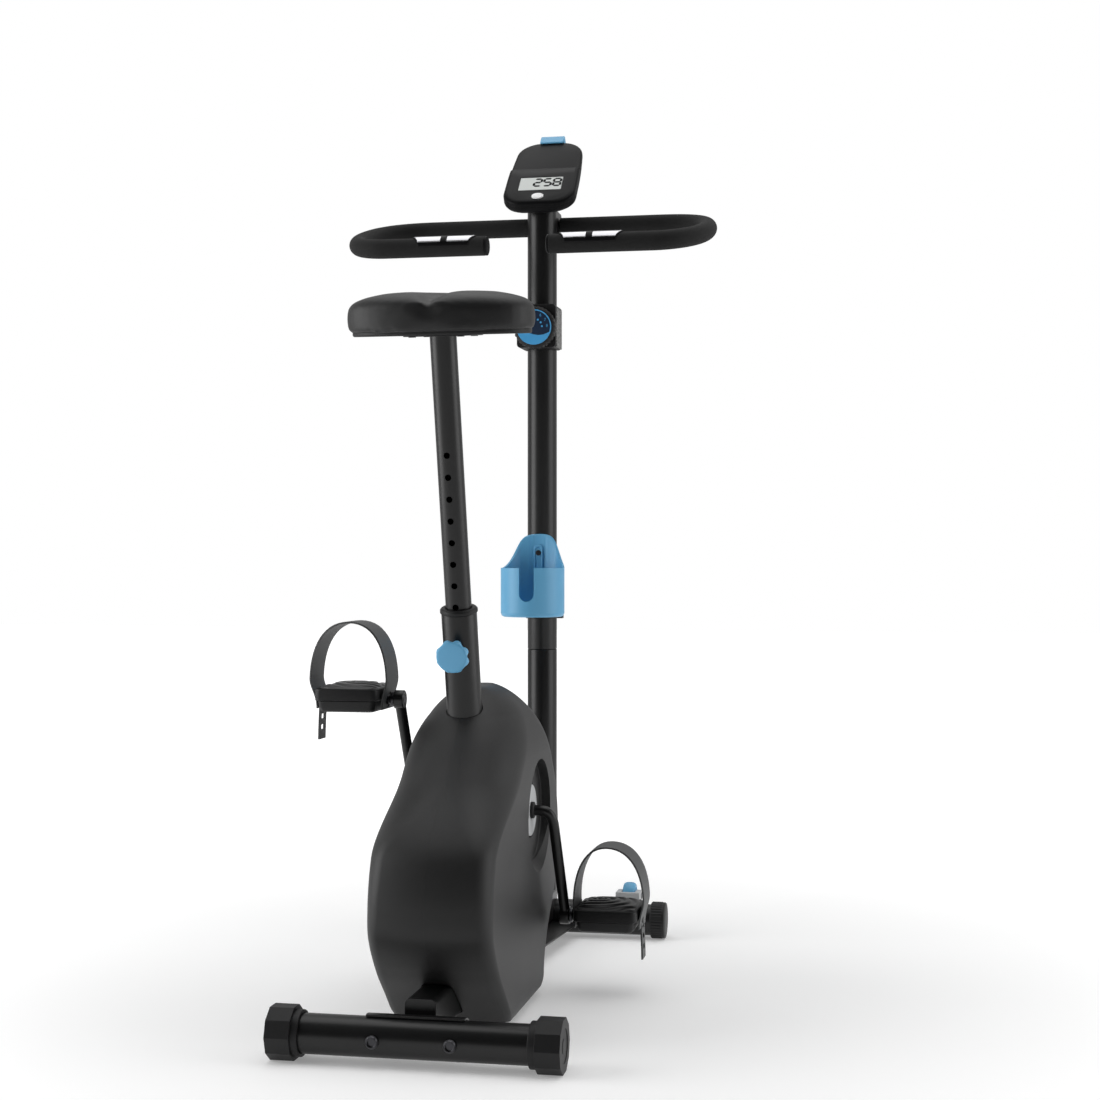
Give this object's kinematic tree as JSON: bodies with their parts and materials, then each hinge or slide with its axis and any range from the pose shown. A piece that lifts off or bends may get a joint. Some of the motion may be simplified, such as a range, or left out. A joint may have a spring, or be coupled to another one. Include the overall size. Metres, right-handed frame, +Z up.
{
  "type": "exercise bike",
  "caption": "Upright magnetic exercise bike with a padded saddle on a drilled post, looped foam handlebar, tilted console, strapped pedals, bottle cup and levelling feet.",
  "frame": {"origin": "on the floor, under the middle of the bike's box", "axes": "+X towards the rider's right, +Y forwards, +Z up"},
  "size_m": [0.5876, 0.9274, 1.3357],
  "materials": {
    "black_paint": "semi-gloss",
    "black_plastic": "fine grain",
    "charcoal_plastic": "fine grain",
    "blue_plastic": "satin",
    "pale_grey_plastic": "satin",
    "white_plastic": "satin",
    "chrome": "polished",
    "steel": "zinc plated",
    "cast_iron": "as cast",
    "foam": "matt foam",
    "rubber": "matt",
    "cover": "grained, soft",
    "screen": "clear over a grey display"
  },
  "bodies": {
    "frame": {"rear_foot_tube": "black_paint", "front_foot_tube": "black_paint", "rear_foot_bracket": "black_paint", "front_foot_bracket": "black_paint", "frame_beam": "black_paint", "post_stub": "black_paint", "handlebar_post": "black_paint", "seat_tube": "black_paint", "crank_shell": "black_paint", "flywheel_bracket": "black_paint", "handlebar_tube": "black_paint", "handlebar_clamp": "black_paint", "front_foot_cap_left": "black_plastic", "front_foot_cap_right": "black_plastic", "seat_bush": "black_plastic", "grip_plug_left": "black_plastic", "grip_plug_right": "black_plastic", "console_body": "black_plastic", "dial_base": "black_plastic", "bottle_clamp": "black_plastic", "casing_left": "charcoal_plastic", "casing_right": "charcoal_plastic", "bottle_holder": "blue_plastic", "wheel_bracket_left": "pale_grey_plastic", "wheel_bracket_right": "pale_grey_plastic", "pulse_plate_left": "chrome", "pulse_plate_right": "chrome", "rear_foot_bolt_left": "steel", "rear_foot_bolt_right": "steel", "front_foot_bolt_left": "steel", "front_foot_bolt_right": "steel", "flywheel_axle": "steel", "foam_grip_left": "foam", "foam_grip_right": "foam", "drive_belt": "rubber", "console_screen": "screen"},
    "crank": {"crank": "black_paint", "crank_disc_left": "pale_grey_plastic", "crank_disc_right": "pale_grey_plastic", "drive_pulley": "black_plastic", "pedal_axle_left": "chrome", "pedal_axle_right": "chrome"},
    "pedal_left": {"pedal_left": "black_plastic", "pedal_strap_left": "rubber"},
    "pedal_right": {"pedal_right": "black_plastic", "pedal_strap_right": "rubber"},
    "flywheel": {"flywheel": "cast_iron"},
    "magnet_arm": {"magnet_arm": "steel"},
    "seat": {"seat_post": "black_paint", "saddle_bracket": "black_paint", "saddle_base": "black_plastic", "saddle_pad": "cover"},
    "seat_knob": {"seat_knob": "blue_plastic"},
    "tension_dial": {"tension_dial": "black_plastic"},
    "console_button": {"console_button": "white_plastic"},
    "console_tab": {"console_tab": "blue_plastic"},
    "wheel_left": {"transport_wheel_left": "blue_plastic"},
    "wheel_right": {"transport_wheel_right": "blue_plastic"},
    "rear_cap_left": {"rear_foot_cap_left": "black_plastic"},
    "rear_cap_right": {"rear_foot_cap_right": "black_plastic"}
  },
  "joints": [
    {"name": "crank_spin", "type": "hinge", "parent": "frame", "child": "crank", "pos_m": [0, -0.065, 0.266], "axis": [1, 0, 0], "continuous": true},
    {"name": "pedal_left_spin", "type": "hinge", "parent": "crank", "child": "pedal_left", "pos_m": [-0.171, -0.12648, 0.4245], "axis": [1, 0, 0], "continuous": true},
    {"name": "pedal_right_spin", "type": "hinge", "parent": "crank", "child": "pedal_right", "pos_m": [0.171, -0.00352, 0.10751], "axis": [1, 0, 0], "continuous": true},
    {"name": "flywheel_spin", "type": "hinge", "parent": "frame", "child": "flywheel", "pos_m": [-0.046, -0.2405, 0.185], "axis": [1, 0, 0], "continuous": true},
    {"name": "seat_height", "type": "slide", "parent": "frame", "child": "seat", "axis": [0, -0.2317, 0.9728], "range_m": [-0.2646, 0.0588]},
    {"name": "seat_knob_pull", "type": "slide", "parent": "frame", "child": "seat_knob", "axis": [0, -0.9728, -0.2317], "range_m": [0, 0.008], "stiffness_N_per_m": 600, "springref_m": -0.005},
    {"name": "dial_turn", "type": "hinge", "parent": "frame", "child": "tension_dial", "pos_m": [0, 0.2875, 0.992], "axis": [0, 1, 0], "range_deg": [0, 270]},
    {"name": "magnet_tilt", "type": "hinge", "parent": "frame", "child": "magnet_arm", "pos_m": [-0.046, -0.14064, 0.21745], "axis": [1, 0, 0], "range_deg": [0, 2.4]},
    {"name": "button_press", "type": "slide", "parent": "frame", "child": "console_button", "axis": [0, 0.7009, -0.7133], "range_m": [0, 0.0015], "stiffness_N_per_m": 500, "springref_m": -0.001},
    {"name": "tab_lift", "type": "slide", "parent": "frame", "child": "console_tab", "axis": [0, 0.7133, 0.7009], "range_m": [0, 0.025], "stiffness_N_per_m": 120, "springref_m": -0.012},
    {"name": "wheel_left_spin", "type": "hinge", "parent": "frame", "child": "wheel_left", "pos_m": [-0.137, 0.414, 0.061], "axis": [1, 0, 0], "continuous": true},
    {"name": "wheel_right_spin", "type": "hinge", "parent": "frame", "child": "wheel_right", "pos_m": [0.137, 0.414, 0.061], "axis": [1, 0, 0], "continuous": true},
    {"name": "rear_cap_left_turn", "type": "hinge", "parent": "frame", "child": "rear_cap_left", "pos_m": [-0.1695, -0.4305, 0.033], "axis": [1, 0, 0], "range_deg": [-180, 180]},
    {"name": "rear_cap_right_turn", "type": "hinge", "parent": "frame", "child": "rear_cap_right", "pos_m": [0.1695, -0.4305, 0.033], "axis": [1, 0, 0], "range_deg": [-180, 180]}
  ],
  "couplings": [
    {"joint": "flywheel_spin", "follows": "crank_spin", "ratio": 5.7143},
    {"joint": "magnet_tilt", "follows": "dial_turn", "ratio": 0.008889}
  ]
}
